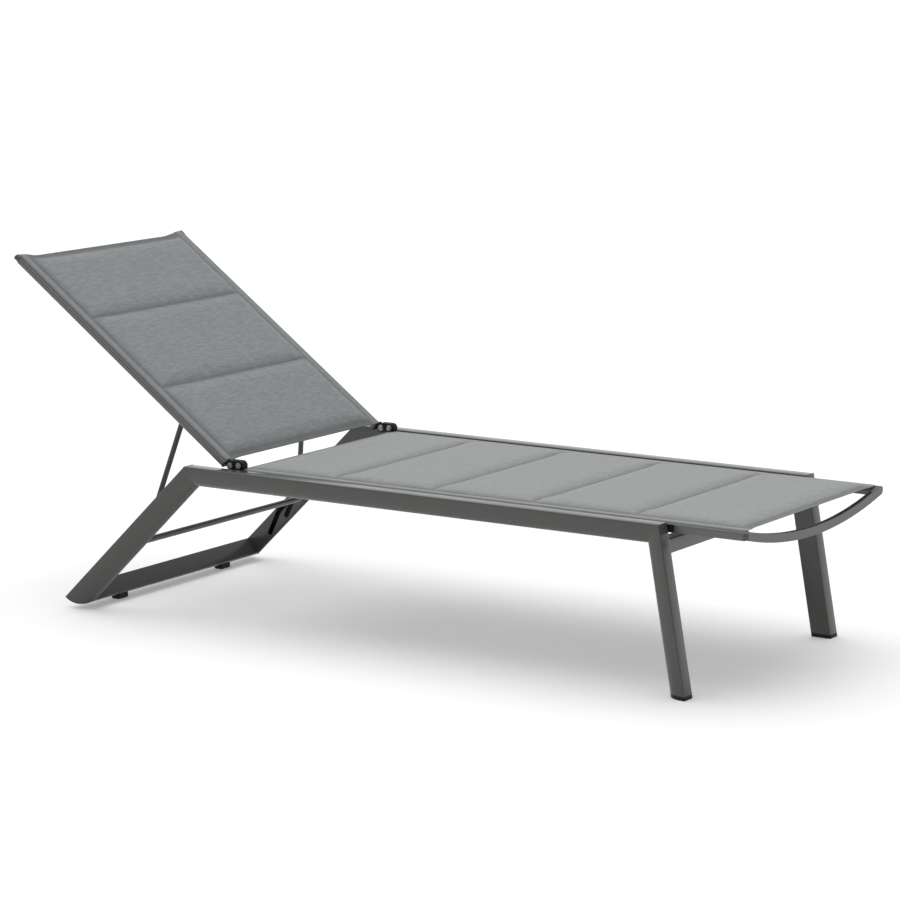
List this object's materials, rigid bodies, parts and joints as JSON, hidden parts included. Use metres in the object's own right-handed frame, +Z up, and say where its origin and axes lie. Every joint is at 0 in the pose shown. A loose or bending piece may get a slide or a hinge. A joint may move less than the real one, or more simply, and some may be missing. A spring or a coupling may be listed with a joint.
{
  "type": "reclining sun lounger",
  "caption": "Flat sun lounger with a padded sling seat on mitred aluminium side frames and a reclining backrest propped by a swinging stay in notched rear legs.",
  "frame": {"origin": "centre of the footprint's bounding box, on the floor", "axes": "+X from the head end to the foot end, +Y to the left of someone lying on it, +Z up"},
  "size_m": [1.8388, 0.7, 0.7676],
  "materials": {
    "frame_paint": "satin powder coat",
    "seat_sling_fabric": "woven mesh",
    "back_sling_fabric": "woven mesh",
    "black_nylon": "moulded",
    "sling_cord": "extruded",
    "stainless_steel": "dull"
  },
  "bodies": {
    "frame": {"side_rail_left": "frame_paint", "side_rail_right": "frame_paint", "front_leg_left": "frame_paint", "front_leg_right": "frame_paint", "rear_leg_left": "frame_paint", "rear_leg_right": "frame_paint", "rear_floor_bar": "frame_paint", "front_cross_tube": "frame_paint", "rear_cross_tube": "frame_paint", "front_foot_cap_left": "black_nylon", "front_foot_cap_right": "black_nylon", "floor_glide_left": "black_nylon", "floor_glide_right": "black_nylon", "seat_rail_left": "frame_paint", "seat_rail_right": "frame_paint", "foot_bar": "frame_paint", "seat_spreader_tubes": "frame_paint", "seat_sling": "seat_sling_fabric", "seat_sling_cords": "sling_cord", "seat_rail_spacers": "black_nylon", "seat_rail_bolts": "stainless_steel", "hinge_bracket_left": "black_nylon", "hinge_bracket_right": "black_nylon", "hinge_pivot_bolts": "stainless_steel", "hinge_clamp_bolts": "stainless_steel", "hinge_nuts": "stainless_steel"},
    "backrest": {"back_rail_left": "frame_paint", "back_rail_right": "frame_paint", "head_bar": "frame_paint", "back_spreader_tube": "frame_paint", "back_sling": "back_sling_fabric", "back_sling_cords": "sling_cord", "hinge_tongue_left": "black_nylon", "hinge_tongue_right": "black_nylon", "stay_lugs_left": "frame_paint", "stay_lugs_right": "frame_paint", "stay_pivot_pins": "stainless_steel"},
    "stay": {"stay_arm_left": "frame_paint", "stay_arm_right": "frame_paint", "stay_bar": "frame_paint", "stay_end_rollers": "black_nylon"}
  },
  "joints": [
    {"name": "backrest_recline", "type": "hinge", "parent": "frame", "child": "backrest", "pos_m": [-0.31858, 0, 0.3542], "axis": [0, 1, 0], "range_deg": [-36, 17.5]},
    {"name": "stay_swing", "type": "hinge", "parent": "backrest", "child": "stay", "pos_m": [-0.49235, 0, 0.44337], "axis": [0, 1, 0], "range_deg": [-24, 49]}
  ],
  "couplings": [
    {"joint": "stay_swing", "follows": "backrest_recline", "ratio": -1.36}
  ]
}
